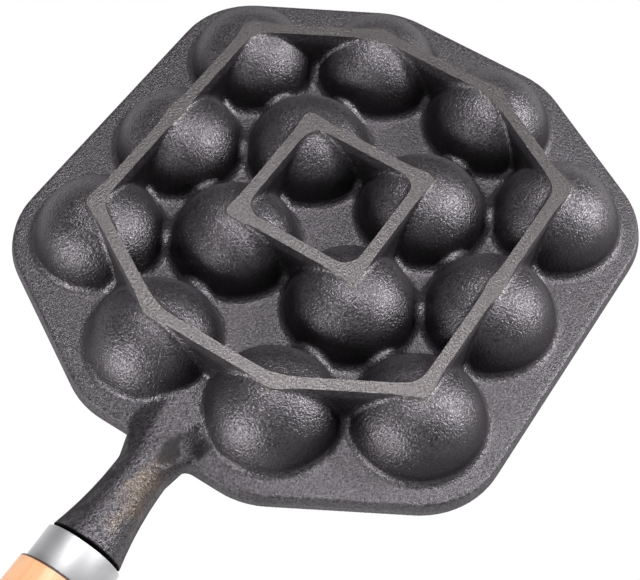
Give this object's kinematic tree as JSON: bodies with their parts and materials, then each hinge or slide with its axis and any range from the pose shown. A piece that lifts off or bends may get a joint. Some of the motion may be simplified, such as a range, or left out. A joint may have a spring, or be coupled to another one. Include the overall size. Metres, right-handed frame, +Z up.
{
  "type": "takoyaki pan",
  "caption": "Cast-iron pan with round wells in an octagonal plate, foot ribs under it, and a turned wooden grip with a steel ferrule.",
  "frame": {"origin": "middle of the whole pan in plan, on the plane that the foot ribs stand on", "axes": "+Z up, with the wells opening upwards; +X along the handle, from the plate towards the grip's tail; +Y completes a right-handed frame"},
  "size_m": [0.3668, 0.186, 0.0508],
  "materials": {
    "cast_iron": "sand-cast, seasoned, satin",
    "ferrule_steel": "spun and brushed",
    "grip_wood": "turned pale beech, thin clear lacquer",
    "fastener_steel": "zinc-plated steel"
  },
  "bodies": {
    "root": {"pan_casting": "cast_iron", "ferrule": "ferrule_steel", "grip": "grip_wood", "tie_rod": "fastener_steel", "washer": "fastener_steel", "nut": "fastener_steel"}
  },
  "joints": []
}
